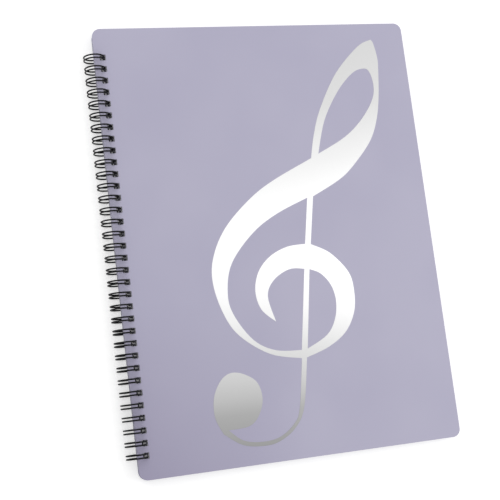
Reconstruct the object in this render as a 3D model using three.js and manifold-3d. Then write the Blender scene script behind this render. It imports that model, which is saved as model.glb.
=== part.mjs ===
// Music folder: two plastic covers and a block of clear pocket leaves, held by a black twin-loop wire,
// with a large silver foil treble clef on the front cover.
// Millimetres, +Z up. The folder lies closed on its back, with its bound edge at -X and its head at +Y.
// While it is built, X = 0 is the axis of the wire rings, which is also the bound edge of the covers,
// Y = 0 is the foot of the covers, and heights are measured from the ring axis.

import * as THREE from "three";
import { mergeVertices } from "three/addons/utils/BufferGeometryUtils.js";
import Module from "manifold-3d";

// Covers
const coverWidth = 240;
const coverHeight = 317;
const coverThickness = 0.8;
const coverCornerRadius = 6;

// Pocket leaves: a flat punched strip along the bound edge, thicker where the pockets are
const spineThickness = 3.5;
const leavesAboveAxis = 1.7;
const leafBoundSetback = 0.5;
const leafForeSetback = 8;
const leafEndSetback = 5;
const leafCornerRadius = 3;
const spineStripWidth = 14;
const swellWidth = 16;
const layGap = 0.1;

// Twin-loop wire at three loops to the inch
const wireDiameter = 1.1;
const loopPitch = 25.4 / 3;
const twinSpacing = 2.3;
const bindingEndMargin = 16.4;
const ringSlack = 2.75;
const rootBendRadius = 0.9;
const wireEndStub = 0.8;
const seamOpening = 0.4;
const seamGap = 0.5;
const holeClearance = 0.35;

// Silver foil clef on the front cover
const foilThickness = 0.1;
const clefBoundMargin = 56.3;
const clefForeMargin = 23.2;
const clefHeadMargin = 12.6;
const clefFootMargin = 12.2;

// Smoothness of the curved shapes
const cornerCurveSegments = 4;
const clefSegmentsPerSpan = 6;
const wireSectionSides = 5;
const ringStationAngle = Math.PI / 6;

// Heights above the ring axis, worked out from the leaves outwards
const seamHeight = wireDiameter + 2 * seamGap;
const leavesThickness = spineThickness + seamHeight;
const spineBottom = leavesAboveAxis - spineThickness;
const leavesBottom = leavesAboveAxis - leavesThickness;
const frontCoverBottom = leavesAboveAxis + layGap;
const frontCoverTop = frontCoverBottom + coverThickness;
const backCoverTop = leavesBottom - layGap;
const backCoverBottom = backCoverTop - coverThickness;

// Rings sized to the stack that they hold
const ringRadius = (frontCoverTop - backCoverBottom) / 2 + ringSlack + wireDiameter / 2;
const loopCount = Math.floor((coverHeight - 2 * bindingEndMargin) / loopPitch) + 1;

// The square holes lie midway between the places where a ring passes the two covers
const ringReach = (height) => Math.sqrt(ringRadius ** 2 - height ** 2);
const frontReach = ringReach((frontCoverTop + frontCoverBottom) / 2);
const backReach = ringReach((backCoverTop + backCoverBottom) / 2);
const holeInset = (frontReach + backReach) / 2;
const holeSide = twinSpacing + wireDiameter + 2 * holeClearance;

const materials = {
  cover: new THREE.MeshStandardMaterial({ color: 0xb4b0c8, roughness: 0.5, metalness: 0 }),
  leaves: new THREE.MeshStandardMaterial({ color: 0xeef0f2, roughness: 0.25, metalness: 0 }),
  wire: new THREE.MeshStandardMaterial({ color: 0x17161a, roughness: 0.35, metalness: 0.2 }),
  foil: new THREE.MeshStandardMaterial({ color: 0xe2e2e0, roughness: 0.3, metalness: 0.8 }),
};

const loopHeights = Array.from({ length: loopCount }, (_, k) => bindingEndMargin + k * loopPitch);

// A rectangle with four round corners, as a flat outline
function roundedRectangle(left, right, foot, head, radius) {
  const outline = new THREE.Shape();
  outline.moveTo(left + radius, foot);
  outline.lineTo(right - radius, foot);
  outline.absarc(right - radius, foot + radius, radius, -Math.PI / 2, 0);
  outline.lineTo(right, head - radius);
  outline.absarc(right - radius, head - radius, radius, 0, Math.PI / 2);
  outline.lineTo(left + radius, head);
  outline.absarc(left + radius, head - radius, radius, Math.PI / 2, Math.PI);
  outline.lineTo(left, foot + radius);
  outline.absarc(left + radius, foot + radius, radius, Math.PI, 1.5 * Math.PI);
  return outline;
}

// Adds the row of square binding holes to an outline
function punchBindingHoles(outline) {
  for (const height of loopHeights) {
    const hole = new THREE.Path();
    hole.moveTo(holeInset - holeSide / 2, height - holeSide / 2);
    hole.lineTo(holeInset - holeSide / 2, height + holeSide / 2);
    hole.lineTo(holeInset + holeSide / 2, height + holeSide / 2);
    hole.lineTo(holeInset + holeSide / 2, height - holeSide / 2);
    outline.holes.push(hole);
  }
  return outline;
}

function plate(outline, thickness, curveSegments) {
  return new THREE.ExtrudeGeometry(outline, { depth: thickness, bevelEnabled: false, curveSegments });
}

function piece(name, geometry, material, height) {
  const mesh = new THREE.Mesh(geometry, material);
  mesh.name = name;
  mesh.position.z = height;
  return mesh;
}

// Both covers are the same punched sheet
function coverGeometry() {
  const outline = roundedRectangle(0, coverWidth, 0, coverHeight, coverCornerRadius);
  return plate(punchBindingHoles(outline), coverThickness, cornerCurveSegments);
}

const wasm = await Module();
wasm.setup();

function toSolid(geometry) {
  const bare = geometry.clone();
  bare.deleteAttribute("normal");
  bare.deleteAttribute("uv");
  const merged = mergeVertices(bare);
  const vertProperties = new Float32Array(merged.attributes.position.array);
  const triVerts = new Uint32Array(merged.index.array);
  return new wasm.Manifold(new wasm.Mesh({ numProp: 3, vertProperties, triVerts }));
}

function fromSolid(solid) {
  const mesh = solid.getMesh();
  const geometry = new THREE.BufferGeometry();
  geometry.setAttribute("position", new THREE.BufferAttribute(mesh.vertProperties, mesh.numProp));
  geometry.setIndex(new THREE.BufferAttribute(mesh.triVerts, 1));
  const faceted = geometry.toNonIndexed();
  faceted.computeVertexNormals();
  return faceted;
}

// All the clear pocket leaves as one block. Its underside steps up in a slope to the punched strip,
// which leaves room for the seam of the wire between the last leaf and the back cover.
function leavesGeometry() {
  const right = coverWidth - leafForeSetback;
  const head = coverHeight - leafEndSetback;
  const outline = roundedRectangle(leafBoundSetback, right, leafEndSetback, head, leafCornerRadius);
  const block = plate(punchBindingHoles(outline), leavesThickness, cornerCurveSegments);

  const underStrip = new THREE.Shape();
  underStrip.moveTo(-leafCornerRadius, -leafCornerRadius);
  underStrip.lineTo(spineStripWidth + swellWidth, -leafCornerRadius);
  underStrip.lineTo(spineStripWidth + swellWidth, 0);
  underStrip.lineTo(spineStripWidth, seamHeight);
  underStrip.lineTo(-leafCornerRadius, seamHeight);
  const wedge = new THREE.ExtrudeGeometry(underStrip, { depth: coverHeight, bevelEnabled: false });
  wedge.rotateX(Math.PI / 2);
  wedge.translate(0, coverHeight, 0);
  return fromSolid(toSolid(block).subtract(toSolid(wedge)));
}

// The line of the wire, drawn on the unrolled cylinder of the rings: "along" is the distance round the
// ring from the +X side, "height" is Y. Each loop leaves the seam, runs round the ring, turns back in a
// closed hairpin beside the seam, runs home, and goes straight on to the next loop.
class TwinLoopWire extends THREE.Curve {
  constructor() {
    super();
    this.stations = this.makeStations();
  }

  makeStations() {
    const stations = [];
    const addStation = (along, height, direction) => stations.push({ along, height, direction });
    const rootHeight = spineBottom - seamGap - wireDiameter / 2;
    const root = ringRadius * Math.asin(rootHeight / ringRadius);
    const turnRadius = twinSpacing / 2;
    const hairpinTip = root + 2 * Math.PI * ringRadius - wireDiameter - seamOpening;
    const hairpinStart = hairpinTip - turnRadius;
    const arcAngles = [];
    for (let angle = 0; angle * ringRadius < hairpinStart - turnRadius; angle += ringStationAngle) {
      arcAngles.push(angle);
    }
    const quarter = Math.PI / 2;
    const firstBend = loopHeights[0] - turnRadius - rootBendRadius;
    const lastBend = loopHeights[loopCount - 1] + turnRadius + rootBendRadius;

    addStation(root, firstBend - wireEndStub, 0);
    for (const height of loopHeights) {
      for (const bend of [0, quarter / 2, quarter]) {
        const along = root + rootBendRadius * (1 - Math.cos(bend));
        addStation(along, height - turnRadius - rootBendRadius * (1 - Math.sin(bend)), bend);
      }
      for (const angle of arcAngles) {
        addStation(angle * ringRadius, height - turnRadius, quarter);
      }
      for (const turn of [0, quarter * 2 / 3, quarter * 4 / 3, 2 * quarter]) {
        const along = hairpinStart + turnRadius * Math.sin(turn);
        addStation(along, height - turnRadius * Math.cos(turn), quarter - turn);
      }
      for (const angle of arcAngles.toReversed()) {
        addStation(angle * ringRadius, height + turnRadius, -quarter);
      }
      for (const bend of [quarter, quarter / 2, 0]) {
        const along = root + rootBendRadius * (1 - Math.cos(bend));
        addStation(along, height + turnRadius + rootBendRadius * (1 - Math.sin(bend)), -bend);
      }
    }
    addStation(root, lastBend + wireEndStub, 0);
    return stations;
  }

  stationAt(share) {
    return this.stations[Math.round(share * (this.stations.length - 1))];
  }

  getPointAt(share, target = new THREE.Vector3()) {
    const { along, height } = this.stationAt(share);
    const angle = along / ringRadius;
    return target.set(ringRadius * Math.cos(angle), height, ringRadius * Math.sin(angle));
  }

  getTangentAt(share, target = new THREE.Vector3()) {
    const { along, direction } = this.stationAt(share);
    const angle = along / ringRadius;
    const round = Math.sin(direction);
    return target.set(-round * Math.sin(angle), Math.cos(direction), round * Math.cos(angle));
  }
}

function wireGeometry() {
  const section = new THREE.Shape();
  for (let side = 0; side < wireSectionSides; side += 1) {
    const angle = 2 * Math.PI * side / wireSectionSides;
    const across = wireDiameter / 2 * Math.cos(angle);
    const upward = wireDiameter / 2 * Math.sin(angle);
    if (side === 0) {
      section.moveTo(across, upward);
    } else {
      section.lineTo(across, upward);
    }
  }
  const line = new TwinLoopWire();
  const steps = line.stations.length - 1;
  return new THREE.ExtrudeGeometry(section, { steps, extrudePath: line, bevelEnabled: false });
}

// The clef's outline in a box 160.5 wide and 292.2 high, as smooth runs that meet at corners.
// Each run ends where the next one starts.
const clefBox = { width: 160.5, height: 292.2 };

// Once round the outside, clockwise from the tip of the top loop
const clefOutside = [
  // Outer right edge of the top loop, down to the stem
  [[156.8, 292.1], [158.6, 289.3], [160.3, 278.7], [160, 269.9], [156.7, 245.7], [151.8, 226.9],
    [143.6, 211.3], [127.1, 193.6], [114.9, 184.4], [93.5, 173.7]],
  // Right side of the stem, down to the spiral
  [[93.5, 173.7], [86.8, 138.6]],
  // Outer right edge of the spiral, down to the foot of the stem
  [[86.8, 138.6], [100.5, 131.3], [112.6, 117], [115.5, 104], [113.6, 87.3], [104.8, 72.9],
    [90.4, 63.4], [72.7, 57.5]],
  // Right side of the lower stem and round the outside of the hook
  [[72.7, 57.5], [65.8, 23], [56.9, 9], [44.1, 1.5], [32.2, 0.1], [17.9, 2.6], [5.1, 11.5]],
  // Round the ball
  [[5.1, 11.5], [0.3, 23.6], [1.5, 38.2], [9.2, 50], [19.7, 52.6], [32.8, 45.2], [36, 32.1], [31.1, 20.2],
    [23.3, 14.6], [8.9, 13.8]],
  // Inside of the hook and left side of the lower stem
  [[8.9, 13.8], [18.7, 5.6], [32.5, 3], [45.6, 4.8], [56.9, 12.5], [62.5, 23.1], [68.8, 57.4]],
  // Outer left edge of the bowl and upper edge of the swash, up to the top loop
  [[68.8, 57.4], [45.7, 62.9], [24.7, 78], [14.8, 95.4], [10.1, 117.5], [13.1, 135.9], [24.4, 155.6],
    [44.5, 174.6], [64.1, 187.3], [96, 202.4]],
  // Outer left edge of the top loop
  [[96, 202.4], [100.1, 218.5], [107.6, 238.2], [124.3, 266], [145.1, 286.7], [156.8, 292.1]],
];

// The three openings, each once round anticlockwise
const clefOpenings = [
  [
    // Inside of the top loop
    [[102.1, 205.4], [124.8, 217], [140.4, 230.1], [151.4, 245.1], [154, 256.7], [151.9, 267],
      [147.1, 269.4], [137.9, 266], [124.5, 252.7], [110.6, 230.7], [102.1, 205.4]],
  ],
  [
    // Lower edge of the swash and inside of the bowl
    [[88.8, 173], [64.5, 163], [44.4, 150.3], [25.8, 129.6], [20.1, 109], [22.5, 93],
      [34.7, 74], [50.2, 65.1], [69.5, 63.2]],
    // Left side of the stem inside the spiral
    [[69.5, 63.2], [79.4, 121.1]],
    // Inner edge of the spiral to its tip
    [[79.4, 121.1], [67.9, 121.7], [55.3, 114.9], [49.3, 103.7], [53.1, 85.1]],
    // Outer left edge of the spiral
    [[53.1, 85.1], [43.3, 94.8], [40.5, 108.2], [44.6, 121.8], [54.6, 132.2], [68.3, 138.1], [82.5, 139.2]],
    // Left side of the stem above the spiral
    [[82.5, 139.2], [88.8, 173]],
  ],
  [
    // Right side of the stem inside the spiral, and the spiral's inner edge
    [[83.3, 120.5], [74.1, 63.7]],
    [[74.1, 63.7], [90.4, 72.2], [98.1, 83.7], [100.4, 96.5], [98.1, 107.7], [91.5, 116.5], [83.3, 120.5]],
  ],
];

function clefGeometry() {
  const across = (coverWidth - clefBoundMargin - clefForeMargin) / clefBox.width;
  const upward = (coverHeight - clefHeadMargin - clefFootMargin) / clefBox.height;
  const onCover = ([x, y]) => new THREE.Vector2(clefBoundMargin + x * across, clefFootMargin + y * upward);
  const draw = (path, runs) => {
    const points = runs.flatMap((run) => {
      const divisions = run.length > 2 ? (run.length - 1) * clefSegmentsPerSpan : 1;
      return new THREE.SplineCurve(run.map(onCover)).getPoints(divisions).slice(1);
    });
    return path.setFromPoints(points);
  };
  const outline = draw(new THREE.Shape(), clefOutside);
  for (const opening of clefOpenings) {
    outline.holes.push(draw(new THREE.Path(), opening));
  }
  return plate(outline, foilThickness, 1);
}

const folder = new THREE.Group();
folder.name = "music_folder";
folder.add(piece("wire_binding", wireGeometry(), materials.wire, 0));
folder.add(piece("front_cover", coverGeometry(), materials.cover, frontCoverBottom));
folder.add(piece("clef_foil", clefGeometry(), materials.foil, frontCoverTop));
folder.add(piece("pocket_leaves", leavesGeometry(), materials.leaves, leavesBottom));
folder.add(piece("back_cover", coverGeometry(), materials.cover, backCoverBottom));

// The origin is under the middle of the whole folder, on the surface that it lies on
const extent = new THREE.Box3().setFromObject(folder, true);
const middle = extent.getCenter(new THREE.Vector3());
folder.position.set(-middle.x, -middle.y, -extent.min.z);

export default folder;
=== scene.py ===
# %% [markdown]
# # A wire-bound music folder
# The folder has two lavender plastic covers, twenty clear pocket leaves between them, a black
# twin-loop wire down the left edge and a silver foil treble clef on the front. The solids that
# carry it are already packed. Here each of them gets its real surface: sheets with soft edges and
# clean holes, a smooth round wire, separate leaves, and a material for every finish.

import bpy
import numpy as np
from mathutils import Matrix, Vector


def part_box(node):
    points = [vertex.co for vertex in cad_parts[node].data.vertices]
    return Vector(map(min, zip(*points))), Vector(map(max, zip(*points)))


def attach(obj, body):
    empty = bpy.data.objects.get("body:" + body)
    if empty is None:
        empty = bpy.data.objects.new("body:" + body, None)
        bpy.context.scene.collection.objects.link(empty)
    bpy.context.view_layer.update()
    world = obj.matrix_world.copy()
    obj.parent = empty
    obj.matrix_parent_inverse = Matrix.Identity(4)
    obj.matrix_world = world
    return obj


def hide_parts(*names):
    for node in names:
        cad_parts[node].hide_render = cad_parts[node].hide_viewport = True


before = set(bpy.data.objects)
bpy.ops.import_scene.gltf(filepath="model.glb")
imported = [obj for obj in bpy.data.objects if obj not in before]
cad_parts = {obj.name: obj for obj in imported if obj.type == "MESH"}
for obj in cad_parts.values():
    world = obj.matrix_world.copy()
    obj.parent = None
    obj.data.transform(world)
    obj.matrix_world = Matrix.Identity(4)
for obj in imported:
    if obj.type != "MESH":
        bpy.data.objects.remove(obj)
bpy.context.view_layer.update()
MM = 0.001

# %% [markdown]
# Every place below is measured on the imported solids, so nothing has to be fitted by eye. The bound
# edge of the covers lies on the axis of the wire rings, which makes that axis the natural zero for
# anything that has to do with the binding.

# %% Measures taken from the frame
cover_low, cover_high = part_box("front_cover")
back_low, back_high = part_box("back_cover")
leaves_low, leaves_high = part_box("pocket_leaves")
wire_low, wire_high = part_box("wire_binding")

WIRE_DIAMETER = 1.1 * MM
AXIS_X = cover_low.x
AXIS_Z = (wire_low.z + wire_high.z) / 2
RING_RADIUS = (wire_high.z - wire_low.z - WIRE_DIAMETER) / 2
print(f"cover {(cover_high - cover_low) / MM} mm, ring radius {RING_RADIUS / MM:.2f} mm")

# %% [markdown]
# ## Camera
# The photograph looks down on the folder from a point to the left of its wire, nearer to the foot
# than to the head. A camera can be aimed by hand until the picture fits. Here it stands on numbers
# that were worked out from the row of loops and the outline of the cover, so the fit can be
# repeated: the way to it from the foot of the bound edge, a viewing direction and an up direction.
# A matrix whose columns are right, up and backwards is all that a camera needs. Its lens and its
# sensor are given in millimetres, as on a real camera, and how far it sees in metres.

# %% The camera
CAMERA_FROM_FOOT = Vector((-140.4, 42.3, 750.3)) * MM
CAMERA_LOOK = Vector((0.2985, 0.1358, -0.9447))
CAMERA_UP = Vector((0.0777, 0.9831, 0.1659))
CAMERA_LENS = 80.12
SENSOR_WIDTH = 36
FARTHEST_SEEN = 20


def look_along(look, up):
    """Turn matrix of a camera or a lamp: its -Z axis lies along look, and its Y axis as near to up
    as it can."""
    backwards = -look.normalized()
    right = up.cross(backwards).normalized()
    return Matrix((right, backwards.cross(right), backwards)).transposed().to_4x4()


camera = bpy.data.objects.new("camera", bpy.data.cameras.new("camera"))
bpy.context.scene.collection.objects.link(camera)
foot_corner = Vector((cover_low.x, cover_low.y, cover_high.z))
camera_turn = look_along(CAMERA_LOOK, CAMERA_UP)
camera.matrix_world = Matrix.Translation(foot_corner + CAMERA_FROM_FOOT) @ camera_turn
camera.data.sensor_width = SENSOR_WIDTH
camera.data.lens = CAMERA_LENS
camera.data.clip_end = FARTHEST_SEEN
bpy.context.scene.camera = camera
print("camera at", tuple(round(c, 3) for c in camera.location))

# %% [markdown]
# ## Meshes from arrays
# A mesh can be built face by face with a modelling tool, or written down in one go. All new shapes
# here are worked out as whole arrays of points and four-sided faces, because a formula is exact and
# fast however many points it makes. One helper puts such arrays into a mesh. Faces that belong to a
# rounded edge are shaded smooth, and the flat ones stay flat, so that a rim never smears a shadow
# over the sheet beside it.


# %% From arrays to an object
def mesh_object(name, points, quads, smooth):
    """An object at the origin whose mesh has these points and four-sided faces."""
    mesh = bpy.data.meshes.new(name)
    mesh.vertices.add(len(points))
    mesh.vertices.foreach_set("co", np.asarray(points, np.float32).ravel())
    mesh.loops.add(quads.size)
    mesh.loops.foreach_set("vertex_index", quads.astype(np.int32).ravel())
    mesh.polygons.add(len(quads))
    mesh.polygons.foreach_set("loop_start", np.arange(0, quads.size, 4, dtype=np.int32))
    mesh.update(calc_edges=True)
    mesh.polygons.foreach_set("use_smooth", np.broadcast_to(smooth, len(quads)).astype(bool))
    mesh.update()
    piece = bpy.data.objects.new(name, mesh)
    bpy.context.scene.collection.objects.link(piece)
    return piece


def ring_quads(rings):
    """Faces between neighbouring closed rings. rings[r, i] is the number of point i on ring r."""
    after = np.roll(rings, -1, axis=1)
    return np.stack([rings[:-1], after[:-1], after[1:], rings[1:]], -1).reshape(-1, 4)


# %% [markdown]
# ## Shader helpers
# A material here is a few nodes joined in code. Object coordinates are in metres and stay with the
# piece, so a grain size can be written as a real length, and a colour can follow a place on the
# cover. The Mix node has one pair of inputs for each kind of value. The numbers below pick the pair
# for colours, because all the pairs share the same two names.

# %% Small helpers for node materials
NOISE_DETAIL = 2.0
MIX_FIRST, MIX_SECOND, MIX_RESULT = 6, 7, 2


class Finish:
    """A new node material with one Principled shader, and short ways to add nodes to it."""

    def __init__(self, name, roughness, specular=0.5, metallic=0.0):
        self.material = bpy.data.materials.new(name)
        self.material.use_nodes = True
        self.tree = self.material.node_tree
        self.shader = self.tree.nodes["Principled BSDF"]
        self.shader.inputs["Roughness"].default_value = roughness
        self.shader.inputs["Specular IOR Level"].default_value = specular
        self.shader.inputs["Metallic"].default_value = metallic
        self.place = self.node("ShaderNodeTexCoord").outputs["Object"]

    def node(self, kind, **settings):
        """Adds a node. A setting is a property of the node."""
        added = self.tree.nodes.new(kind)
        for key, value in settings.items():
            setattr(added, key, value)
        return added

    def feed(self, socket, value):
        """Links an output to a socket, or writes a plain value on it."""
        if isinstance(value, bpy.types.NodeSocket):
            self.tree.links.new(value, socket)
        else:
            socket.default_value = value

    def colour(self, value):
        """The colour of the surface itself."""
        self.feed(self.shader.inputs["Base Color"], value)

    def noise(self, grain):
        """Noise between 0 and 1 whose lumps are about grain metres wide."""
        noise = self.node("ShaderNodeTexNoise")
        self.feed(noise.inputs["Vector"], self.place)
        noise.inputs["Scale"].default_value = 1 / grain
        noise.inputs["Detail"].default_value = NOISE_DETAIL
        return noise.outputs["Fac"]

    def axis(self, name, place=None):
        """One coordinate of a place, in metres. It is the place on the piece if none is given."""
        split = self.node("ShaderNodeSeparateXYZ")
        self.feed(split.inputs[0], self.place if place is None else place)
        return split.outputs[name]

    def remap(self, value, low, high, to_low=0.0, to_high=1.0):
        """A straight change of range, held at its ends."""
        node = self.node("ShaderNodeMapRange")
        for socket, number in zip(node.inputs[:5], (value, low, high, to_low, to_high)):
            self.feed(socket, number)
        return node.outputs[0]

    def mix(self, share, first, second):
        """Colour that goes from first to second with share."""
        node = self.node("ShaderNodeMix", data_type="RGBA")
        self.feed(node.inputs["Factor"], share)
        self.feed(node.inputs[MIX_FIRST], first)
        self.feed(node.inputs[MIX_SECOND], second)
        return node.outputs[MIX_RESULT]

    def bump(self, height, depth, strength):
        """Relief of the given depth in metres on the shader."""
        node = self.node("ShaderNodeBump")
        node.inputs["Strength"].default_value = strength
        node.inputs["Distance"].default_value = depth
        self.feed(node.inputs["Height"], height)
        self.feed(self.shader.inputs["Normal"], node.outputs["Normal"])

    def put_on(self, *pieces):
        """The pieces get this material as their only one."""
        for piece in pieces:
            piece.data.materials.clear()
            piece.data.materials.append(self.material)
        print(f"{self.material.name} on {len(pieces)} of the pieces")


def paint(red, green, blue):
    """Colour written as it looks on a screen, from 0 to 255, turned into the linear light that
    shaders use."""
    share = np.array([red, green, blue]) / 255
    linear = np.where(share <= 0.04045, share / 12.92, ((share + 0.055) / 1.055) ** 2.4)
    return (*linear.tolist(), 1.0)


# %% [markdown]
# ## Studio
# The real picture is on plain white. The folder rests on its wire rings along one side and on the
# fore edge of its back cover along the other, so it leans by less than a degree. The floor takes
# that lean instead of the folder, and touches it along both lines.


# %% What the camera sees itself
def seen_directly(tree):
    """1 on rays from the camera, also by way of a reflection or through something clear, and 0 on
    the rays that only carry light from one surface to another."""
    path = tree.nodes.new("ShaderNodeLightPath")
    total = path.outputs["Is Camera Ray"]
    for kind in ("Is Glossy Ray", "Is Transmission Ray"):
        add = tree.nodes.new("ShaderNodeMath")
        add.operation = "ADD"
        add.use_clamp = True
        tree.links.new(total, add.inputs[0])
        tree.links.new(path.outputs[kind], add.inputs[1])
        total = add.outputs[0]
    return total


# %% The floor
FLOOR_REACH = 6.0
FLOOR_SLOPE = (back_low.z - wire_low.z) / (back_high.x - AXIS_X)

corner_signs = np.array([(-1, -1), (1, -1), (1, 1), (-1, 1)], float)
floor_points = np.zeros((4, 3))
floor_points[:, :2] = corner_signs * FLOOR_REACH
floor_points[:, 2] = (floor_points[:, 0] - AXIS_X) * FLOOR_SLOPE + wire_low.z
floor = mesh_object("floor", floor_points, np.array([[0, 1, 2, 3]]), False)
print(f"floor leans by {np.degrees(np.arctan(FLOOR_SLOPE)):.2f} degrees")

# %% [markdown]
# More lamps would turn the floor white, but bleach the folder too. A little light is added to the
# floor itself instead, and only where the camera or a reflection sees it, which turns it white and
# keeps the shadow. The floor under the folder gets little of it, so the punched holes look down
# into shade.

# %% White floor
FLOOR_GLOW = 0.48
SHELTER_GLOW = 0.15
SHELTER_INSET = 3.0 * MM
SHELTER_FADE = 1.0 * MM

floor_paint = Finish("white_floor", roughness=0.9, specular=0.0)
floor_paint.colour(paint(226, 226, 226))
from_middle = floor_paint.node("ShaderNodeVectorMath", operation="ABSOLUTE")
floor_paint.feed(from_middle.inputs[0], floor_paint.place)
aside, lengthwise = (floor_paint.axis(name, from_middle.outputs[0]) for name in "XY")
shelter_x, shelter_y = -AXIS_X - SHELTER_INSET, back_high.y - SHELTER_INSET
beside = floor_paint.remap(aside, shelter_x - SHELTER_FADE, shelter_x, SHELTER_GLOW, FLOOR_GLOW)
open_floor = floor_paint.remap(lengthwise, shelter_y - SHELTER_FADE, shelter_y, beside, FLOOR_GLOW)

glow = floor_paint.node("ShaderNodeEmission")
glow.inputs["Color"].default_value = (1, 1, 1, 1)
seen = seen_directly(floor_paint.tree)
floor_paint.feed(glow.inputs["Strength"], floor_paint.remap(seen, 0, 1, 0, open_floor))
both = floor_paint.node("ShaderNodeAddShader")
floor_paint.feed(both.inputs[0], floor_paint.shader.outputs[0])
floor_paint.feed(both.inputs[1], glow.outputs[0])
floor_paint.feed(floor_paint.tree.nodes["Material Output"].inputs["Surface"], both.outputs[0])
floor_paint.put_on(floor)

# %% [markdown]
# Soft light comes from all round, with one large panel beyond the fore edge for shape and a weaker
# one at the head of the wire. Together they light a flat sheet at the plain level at which a colour
# renders about as it is written.

# %% World and lamps
SKY_LEVEL = 0.63
LAMP_UP = Vector((0, 1, 0.01))

world = bpy.data.worlds.new("studio")
bpy.context.scene.world = world
world.use_nodes = True
sky = world.node_tree.nodes["Background"]
sky.inputs["Color"].default_value = (1, 1, 1, 1)
sky_level = world.node_tree.nodes.new("ShaderNodeMapRange")
sky_level.inputs["To Min"].default_value = SKY_LEVEL
sky_level.inputs["To Max"].default_value = 1.0
world.node_tree.links.new(seen_directly(world.node_tree), sky_level.inputs["Value"])
world.node_tree.links.new(sky_level.outputs[0], sky.inputs["Strength"])


def panel(name, place, size, power):
    """A square area lamp at place that shines at the middle of the folder."""
    lamp = bpy.data.objects.new(name, bpy.data.lights.new(name, "AREA"))
    lamp.data.size = size
    lamp.data.energy = power
    bpy.context.scene.collection.objects.link(lamp)
    lamp.matrix_world = Matrix.Translation(place) @ look_along(-Vector(place), LAMP_UP)


panel("fore_edge_panel", place=(1.15, -0.10, 1.0), size=0.8, power=7.0)
panel("head_panel", place=(-0.55, 0.80, 0.9), size=0.9, power=3.6)
bpy.context.scene.view_settings.view_transform = "Standard"

# %% [markdown]
# ## A punched sheet
# Covers and leaves are the same kind of thing: a thin sheet with round corners and a row of square
# holes along one edge. Cutting the holes out of a plain sheet would leave long thin faces, and it
# would take 34 cuts in each of 22 sheets. Here a ring of faces goes round each hole and meets a
# square block, and the blocks fit into one plain grid of lines, so the whole sheet is a single
# clean net of four-sided faces.

# %% The row of holes
HOLE_SIDE = 4.1 * MM
HOLE_CORNER = 0.4 * MM
LOOP_PITCH = 25.4 * MM / 3
TWIN_SPACING = 2.3 * MM
ROOT_BEND = 0.9 * MM
WIRE_STUB = 0.8 * MM

end_run = TWIN_SPACING / 2 + ROOT_BEND + WIRE_STUB
first_loop = wire_low.y + end_run
loop_count = round((wire_high.y - end_run - first_loop) / LOOP_PITCH) + 1
loop_y = first_loop + LOOP_PITCH * np.arange(loop_count)


def ring_reach(height):
    """Half a chord of the ring: how far the ring lies from its axis sideways at this height."""
    return np.sqrt(RING_RADIUS ** 2 - (height - AXIS_Z) ** 2)


front_reach = ring_reach((cover_low.z + cover_high.z) / 2)
back_reach = ring_reach((back_low.z + back_high.z) / 2)
hole_x = AXIS_X + (front_reach + back_reach) / 2
print(f"{loop_count} holes, {(hole_x - AXIS_X) / MM:.2f} mm in from the bound edge")


# %% The net of lines and the round corners
HOLE_BLOCK = 3.2 * MM
CORNER_LINES = 9
LEAST_CELL = 0.2 * MM


def away_from(lines, taken, least):
    """The lines that lie more than least from every taken place."""
    return lines[np.abs(lines[:, None] - taken[None]).min(1) > least]


def sheet_lines(low, high, centres, per_side, corner, spacing):
    """Grid lines along one direction: dense in the corners and across each hole block, which
    reaches HOLE_BLOCK to both sides of its centre, and about spacing apart elsewhere."""
    blocks = np.linspace(centres - HOLE_BLOCK, centres + HOLE_BLOCK, per_side + 1).ravel()
    fine = np.linspace(0, corner, CORNER_LINES)
    corners = np.concatenate([low + fine, high - fine])
    corners = away_from(corners, centres, HOLE_BLOCK + LEAST_CELL)
    wide = away_from(np.arange(low, high, spacing), centres, HOLE_BLOCK)
    wide = away_from(wide, np.concatenate([blocks, corners]), spacing / 3)
    return np.sort(np.concatenate([blocks, corners, wide]))


def round_corners(x, y, low, high, radius):
    """Bends each square corner to an arc: with u and v the shares of the way into the corner from
    the arc's centre, a point moves to u * sqrt(1 - v*v/2), v * sqrt(1 - u*u/2) of the radius."""
    middle = ((low[0] + high[0]) / 2, (low[1] + high[1]) / 2)
    half = ((high[0] - low[0]) / 2 - radius, (high[1] - low[1]) / 2 - radius)
    dx, dy = x - middle[0], y - middle[1]
    u = np.clip((np.abs(dx) - half[0]) / radius, 0, 1)
    v = np.clip((np.abs(dy) - half[1]) / radius, 0, 1)
    bent_x = np.minimum(np.abs(dx), half[0]) + radius * u * np.sqrt(1 - v * v / 2)
    bent_y = np.minimum(np.abs(dy), half[1]) + radius * v * np.sqrt(1 - u * u / 2)
    return middle[0] + np.sign(dx) * bent_x, middle[1] + np.sign(dy) * bent_y


# %% [markdown]
# The square that frames a block is shrunk until it is the hole, and its corners are bent round.
# Between the two lies one more ring, near the hole, so that the faces beside the rim stay small.

# %% The holes in the net
HOLE_RING_SHARE = 0.35


def block_frames(number, x_lines, y_lines, per_side):
    """Numbers of the points that frame each block, counterclockwise from its lower left corner."""
    first_column = np.argmin(np.abs(x_lines - (hole_x - HOLE_BLOCK)))
    first_rows = np.argmin(np.abs(y_lines[:, None] - (loop_y - HOLE_BLOCK)[None]), axis=0)
    step = np.arange(per_side)
    columns = np.concatenate([step, 0 * step + per_side, per_side - step, 0 * step])
    rows = np.concatenate([0 * step, step, 0 * step + per_side, per_side - step])
    return number[first_rows[:, None] + rows, first_column + columns]


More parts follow.
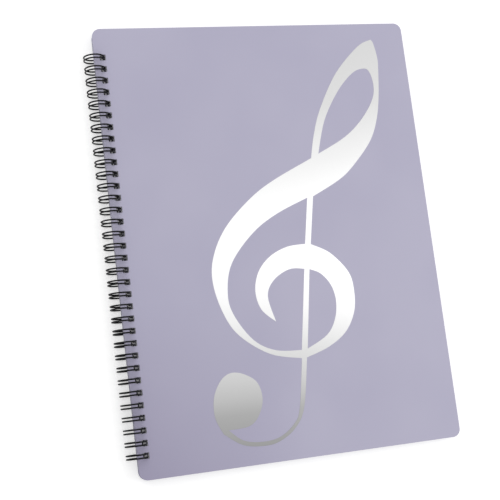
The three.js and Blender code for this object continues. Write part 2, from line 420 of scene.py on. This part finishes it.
def hole_rings(framed, edge):
    """Two rings of points for each hole. The first is the framed square, scaled about its centre to
    the hole and its rim. The second lies HOLE_RING_SHARE of the way from there to the frame."""
    centres = np.stack([np.full(loop_count, hole_x), loop_y], -1)[:, None]
    half = HOLE_SIDE / 2 + edge
    across, up = np.moveaxis((framed - centres) * half / HOLE_BLOCK, -1, 0)
    hole = np.stack(round_corners(across, up, (-half, -half), (half, half), HOLE_CORNER), -1)
    shares = np.array([0.0, HOLE_RING_SHARE])[:, None, None, None]
    return (1 - shares) * (centres + hole) + shares * framed


def sheet_net(low, high, corner, edge, per_side, spacing):
    """The flat net of a sheet: its points, its four-sided faces, and the numbers of the points
    along each rim, first the outline and then the holes, with the sheet to their left."""
    x_lines = sheet_lines(low[0], high[0], np.array([hole_x]), per_side, corner, spacing)
    y_lines = sheet_lines(low[1], high[1], loop_y, per_side, corner, spacing)
    grid_x, grid_y = np.meshgrid(x_lines, y_lines)
    number = np.arange(grid_x.size).reshape(grid_x.shape)
    cells = np.stack([number[:-1, :-1], number[:-1, 1:], number[1:, 1:], number[1:, :-1]], -1)
    cell_x = (x_lines[:-1] + x_lines[1:]) / 2
    cell_y = (y_lines[:-1] + y_lines[1:]) / 2
    in_band = np.abs(cell_x - hole_x) < HOLE_BLOCK
    in_block = np.abs(cell_y[:, None] - loop_y[None]).min(1) < HOLE_BLOCK
    cells = cells[~(in_block[:, None] & in_band[None])]
    plan = np.stack(round_corners(grid_x, grid_y, low, high, corner - edge), -1).reshape(-1, 2)

    frames = block_frames(number, x_lines, y_lines, per_side)
    rings = hole_rings(plan[frames], edge)
    ring_numbers = len(plan) + np.arange(rings[..., 0].size).reshape(rings.shape[:3])
    ladders = np.concatenate([ring_numbers, frames[None]])
    collars = [ring_quads(ladders[:, hole])[:, ::-1] for hole in range(loop_count)]
    plan = np.concatenate([plan, rings.reshape(-1, 2)])

    used, faces = np.unique(np.concatenate([cells, *collars]), return_inverse=True)
    renumber = np.full(len(plan), -1)
    renumber[used] = np.arange(len(used))
    outline = np.concatenate([number[0, :-1], number[:-1, -1], number[-1, :0:-1], number[:0:-1, 0]])
    holes = [renumber[ring_numbers[0, hole]][::-1] for hole in range(loop_count)]
    return plan[used], faces.reshape(-1, 4), [renumber[outline], *holes]


# %% [markdown]
# A rim is a small profile carried round a closed ring of points: a quarter circle out from the top
# face, and a quarter circle back in to the bottom face. At a hole the profile points to the middle
# of the hole, and at the outline it points away from the sheet.


# %% The rims and the whole sheet
def rim_points(ring, edge, steps, top, bottom):
    """The profile at each point of a ring. With an angle a that goes from a quarter turn to 0, its
    points lie edge * cos(a) outwards, and edge * (1 - sin(a)) in from the top or bottom face."""
    turn = np.linspace(np.pi / 2, 0, steps + 1)[1:]
    along = np.roll(ring, -1, 0) - np.roll(ring, 1, 0)
    outward = np.stack([along[:, 1], -along[:, 0]], -1)
    outward /= np.linalg.norm(outward, axis=1, keepdims=True)
    upper = top(*ring.T) - edge + edge * np.sin(turn)[:, None]
    lower = bottom(*ring.T) + edge - edge * np.sin(turn)[:, None]
    spread = ring + outward * (edge * np.cos(turn))[:, None, None]
    levels = np.concatenate([upper, lower[::-1]])
    places = np.concatenate([spread, spread[::-1]])
    return np.concatenate([places, levels[..., None]], -1)


def punched_sheet(name, low, high, corner, edge, top, bottom, per_side=6, rim_steps=3,
                  spacing=12 * MM, flat_faces=True):
    """A closed sheet between the heights top(x, y) and bottom(x, y), over a rectangle with round
    corners, with the row of square holes. edge is the radius of its rims."""
    low, high = np.array(low[:2]) + edge, np.array(high[:2]) - edge
    plan, faces, rims = sheet_net(low, high, corner, edge, per_side, spacing)
    x, y = plan.T
    points = [np.column_stack([x, y, top(x, y)]), np.column_stack([x, y, bottom(x, y)])]
    quads = [faces, faces[:, ::-1] + len(plan)]
    total = 2 * len(plan)
    for rim in rims:
        profile = rim_points(plan[rim], edge, rim_steps, top, bottom)
        inner = total + np.arange(profile[..., 0].size).reshape(profile.shape[:2])
        ladder = np.concatenate([rim[None], inner, rim[None] + len(plan)])
        points.append(profile.reshape(-1, 3))
        quads.append(ring_quads(ladder)[:, ::-1])
        total += inner.size
    all_quads = np.concatenate(quads)
    smooth = np.arange(len(all_quads)) >= 2 * len(faces) if flat_faces else True
    return mesh_object(name, np.concatenate(points), all_quads, smooth)


def level(height):
    """A flat face at one height."""
    return lambda x, y: np.full_like(x, height)


# %% [markdown]
# ## Covers
# Each cover is a 0.8 mm sheet of polypropylene, die cut, with a fine matte emboss that breaks up
# reflections. Of the back cover's bound edge only a thin dark line shows beside the front one, so
# it is set in a little.

# %% Cover sheets
COVER_CORNER = 6.0 * MM
COVER_EDGE = 0.2 * MM
BACK_SET_IN = Vector((0.6 * MM, 0, 0))

front_cover = punched_sheet("front_cover_sheet", cover_low, cover_high, COVER_CORNER, COVER_EDGE,
                            level(cover_high.z), level(cover_low.z))
back_cover = punched_sheet("back_cover_sheet", back_low + BACK_SET_IN, back_high, COVER_CORNER,
                           COVER_EDGE, level(back_high.z), level(back_low.z))
for sheet, node, body in ((front_cover, "front_cover", "front"), (back_cover, "back_cover", "back")):
    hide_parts(node)
    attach(sheet, body)
    print(sheet.name, len(sheet.data.polygons), "faces")

# %% [markdown]
# The emboss could be carved into the mesh, but its grain is far smaller than anything the picture
# can resolve, so it is bump. A faint slow change of tone keeps the large plain area from looking
# like a paper cut-out, and painted shade makes the cover darker towards the foot of the wire, as
# in the photograph.

# %% Lavender polypropylene
GRAIN = 0.45 * MM
CLOUD = 70 * MM
CLOUD_LOW, CLOUD_HIGH = 0.35, 0.65
CORNER_SHADE = 120 * MM

lavender = Finish("lavender_polypropylene", roughness=0.48, specular=0.35)
tone = lavender.remap(lavender.noise(CLOUD), CLOUD_LOW, CLOUD_HIGH)
unshaded_tone = lavender.mix(tone, paint(177, 174, 196), paint(181, 178, 199))
# Painted shade: the cover's colour darkens towards the foot of the bound edge.
near_wire = lavender.remap(lavender.axis("X"), cover_low.x + CORNER_SHADE, cover_low.x)
corner_shade = lavender.remap(lavender.axis("Y"), cover_low.y + CORNER_SHADE, cover_low.y,
                              0, near_wire)
lavender.colour(lavender.mix(corner_shade, unshaded_tone, paint(158, 153, 177)))
lavender.bump(lavender.noise(GRAIN), depth=0.02 * MM, strength=0.5)
lavender.put_on(front_cover, back_cover)

# %% [markdown]
# ## Wire
# The binding is one wire. A curve with a round bevel would give the same shape, but its section can
# twist in tight bends. Drawn on the unrolled cylinder of the rings, the wire is a flat line:
# straight from loop to loop along the seam, a small bend, a run round the ring, a half turn at the
# closed hairpin end, and the same way home. The line is rolled onto the cylinder and a circle is
# carried along it. Because the line lies on a cylinder, the direction away from the axis is always
# square to it, and serves as the section's first axis with no twist to sort out.

# %% The line of one loop on the unrolled cylinder
SEAM_DROP = 2.85 * MM
SEAM_OPENING = 0.4 * MM
RING_STEP = np.radians(6)
BEND_POINTS = 7
HAIRPIN_POINTS = 15

half_twin = TWIN_SPACING / 2
root = -RING_RADIUS * np.arcsin(SEAM_DROP / RING_RADIUS)
hairpin = root + 2 * np.pi * RING_RADIUS - WIRE_DIAMETER - SEAM_OPENING - half_twin

# Columns: the way round the ring, the way along the axis, and the line's direction between them.
bend = np.linspace(0, np.pi / 2, BEND_POINTS)
into_loop = np.column_stack([root + ROOT_BEND * (1 - np.cos(bend)),
                             -half_twin - ROOT_BEND * (1 - np.sin(bend)), bend])
run = np.arange(root + ROOT_BEND, hairpin, RING_STEP * RING_RADIUS)[1:]
up_run = np.column_stack([run, np.full_like(run, -half_twin), np.full_like(run, np.pi / 2)])
turn = np.linspace(0, np.pi, HAIRPIN_POINTS)
closed_end = np.column_stack([hairpin + half_twin * np.sin(turn), -half_twin * np.cos(turn),
                              np.pi / 2 - turn])
one_way = np.concatenate([into_loop, up_run])
way_back = one_way[::-1] * (1, -1, -1)
one_loop = np.concatenate([one_way, closed_end, way_back])
loop_reach = hairpin + half_twin - root
print(f"one loop: {len(one_loop)} points, {loop_reach / MM:.1f} mm round the ring")

# %% The line of the whole wire
SAME_POINT = 0.02 * MM

line = np.repeat(one_loop[None], loop_count, axis=0)
line[..., 1] += loop_y[:, None]
line = line.reshape(-1, 3)
start, end = line[0] - (0, WIRE_STUB, 0), line[-1] + (0, WIRE_STUB, 0)
line = np.concatenate([start[None], line, end[None]])
apart = np.linalg.norm(np.diff(line[:, :2], axis=0), axis=1) > SAME_POINT
line = line[np.concatenate([[True], apart])]

angle, direction = line[:, 0] / RING_RADIUS, line[:, 2]
away = np.column_stack([np.cos(angle), np.zeros_like(angle), np.sin(angle)])
tangent = np.column_stack([-np.sin(direction) * np.sin(angle), np.cos(direction),
                           np.sin(direction) * np.cos(angle)])
sideways = np.cross(tangent, away)
on_axis = np.column_stack([0 * angle + AXIS_X, line[:, 1], 0 * angle + AXIS_Z])
centre_line = away * RING_RADIUS + on_axis
wire_length = np.linalg.norm(np.diff(centre_line, axis=0), axis=1).sum()
print(f"{wire_length:.2f} m of wire")

# %% The wire's skin
WIRE_SIDES = 12

around = (np.arange(WIRE_SIDES) * 2 * np.pi / WIRE_SIDES)[None, :, None]
spokes = np.cos(around) * away[:, None] + np.sin(around) * sideways[:, None]
wire_points = centre_line[:, None] + WIRE_DIAMETER / 2 * spokes
wire_numbers = np.arange(wire_points[..., 0].size).reshape(wire_points.shape[:2])
cap = np.arange(WIRE_SIDES // 2 - 1)
cap_quad = np.stack([cap, cap + 1, WIRE_SIDES - 2 - cap, WIRE_SIDES - 1 - cap], -1)
wire_quads = np.concatenate([ring_quads(wire_numbers), cap_quad[:, ::-1],
                             cap_quad + wire_numbers[-1, 0]])
wire = mesh_object("twin_loop_wire", wire_points.reshape(-1, 3), wire_quads, True)
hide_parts("wire_binding")
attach(wire, "book")
print(wire.name, len(wire_quads), "faces")

# %% [markdown]
# The wire has a thin coat of black plastic. Plain black would hide how it bends, and bare metal
# would glitter, so the coat is a dark colour with a weak shine, and a faint grain breaks the shine
# up along the rings.

# %% Black coated wire
WIRE_GRAIN = 0.6 * MM

black = Finish("black_coated_wire", roughness=0.4, specular=0.14)
black.colour(paint(9, 9, 11))
black.bump(black.noise(WIRE_GRAIN), depth=0.02 * MM, strength=0.4)
black.put_on(wire)

# %% [markdown]
# ## Pocket leaves
# A leaf is two clear films welded together, with a milky punched strip along the bound edge. The
# strips are pressed tight by the wire and the pockets are not, so each leaf steps down from the
# strip to its pocket, and the stack is thinner at the spine. One sheet could be made and copied
# nineteen times, but no two leaves lie exactly over each other, so each is made in its own place.

# %% Twenty leaves
LEAF_COUNT = 20
LEAF_CORNER = 3.0 * MM
LEAF_EDGE = 0.06 * MM
STRIP_EDGE = 14.0 * MM
POCKET_EDGE = 30.0 * MM
SPINE_THICKNESS = 3.5 * MM
LEAF_GAP = 0.02 * MM
LEAF_STRAY = 0.35 * MM
STRAY_SEED = 4

pocket_pitch = (leaves_high.z - leaves_low.z) / LEAF_COUNT
strip_pitch = SPINE_THICKNESS / LEAF_COUNT
stray = np.random.default_rng(STRAY_SEED)


def leaf_face(leaf, side):
    """Height of a leaf's top (side 0) or bottom (side 1). With s the share of the way from the
    strip to the pocket, held between 0 and 1, the step between them is s * s * (3 - 2 * s)."""
    def height(x, y):
        share = np.clip((x - AXIS_X - STRIP_EDGE) / (POCKET_EDGE - STRIP_EDGE), 0, 1)
        share = share * share * (3 - 2 * share)
        pitch = strip_pitch + (pocket_pitch - strip_pitch) * share
        return leaves_high.z - pitch * (leaf + side) + LEAF_GAP * side
    return height


leaves = []
for leaf in range(LEAF_COUNT):
    shift = stray.uniform(0, LEAF_STRAY, 3)
    low = Vector((leaves_low.x + shift[0], leaves_low.y + shift[1], 0))
    high = Vector((leaves_high.x - shift[2], leaves_high.y - LEAF_STRAY + shift[1], 0))
    sleeve = punched_sheet(f"pocket_leaf_{leaf + 1:02d}", low, high, LEAF_CORNER, LEAF_EDGE,
                           leaf_face(leaf, 0), leaf_face(leaf, 1), per_side=4, rim_steps=1,
                           spacing=8 * MM, flat_faces=False)
    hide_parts("pocket_leaves")
    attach(sleeve, "book")
    leaves.append(sleeve)
print(len(leaves), "leaves of", len(leaves[0].data.polygons), "faces each")

# %% [markdown]
# True glass in twenty layers would be slow and full of noise. Film this thin bends light too little
# to see, so it is made with Alpha: almost solid on the milky strip, and half clear on the pocket.

# %% Clear film
STRIP_FADE = 1.0 * MM
STRIP_ALPHA, POCKET_ALPHA = 0.92, 0.5
FILM_WAVE = 40 * MM

film = Finish("clear_film", roughness=0.22)
pocket_share = film.remap(film.axis("X"), AXIS_X + STRIP_EDGE, AXIS_X + STRIP_EDGE + STRIP_FADE)
film.colour(film.mix(pocket_share, paint(246, 246, 248), paint(226, 230, 236)))
film.feed(film.shader.inputs["Alpha"],
          film.remap(pocket_share, 0, 1, STRIP_ALPHA, POCKET_ALPHA))
film.bump(film.noise(FILM_WAVE), depth=0.6 * MM, strength=0.4)
film.put_on(*leaves)

# %% [markdown]
# ## Foil clef
# The clef is hot-stamped silver foil. Its solid is already the right shape, so it only needs its
# finish. The photograph shows a reflection that runs down the cover: grey at the head, almost white
# across the middle, and dark at the foot. Bare metal would need a whole room to mirror for that, so
# the reflection is painted: a colour ramp on the height of the place gives it.

# %% Silver foil
# Painted reflection: grey at the head, almost white across the middle and dark at the foot of the
# clef.
FOIL_REFLECTION_TONES = ((0.0, 152), (0.08, 168), (0.12, 187), (0.16, 200), (0.21, 211), (0.30, 236),
              (0.38, 252), (0.58, 252), (0.69, 234), (0.83, 216), (1.0, 212))

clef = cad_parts["clef_foil"]
clef_low, clef_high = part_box("clef_foil")
foil = Finish("silver_foil", roughness=0.3, metallic=0.75)
ramp = foil.node("ShaderNodeValToRGB")
foil.feed(ramp.inputs[0], foil.remap(foil.axis("Y"), clef_low.y, clef_high.y))
stops = ramp.color_ramp.elements
for share, tone in FOIL_REFLECTION_TONES[1:-1]:
    stops.new(share)
for stop, (share, tone) in zip(stops, FOIL_REFLECTION_TONES):
    stop.color = paint(tone, tone, tone)
foil.colour(ramp.outputs[0])
foil.bump(foil.noise(GRAIN), depth=0.01 * MM, strength=0.3)
foil.put_on(clef)
print("clef", tuple(round(c / MM, 1) for c in clef_high - clef_low), "mm")
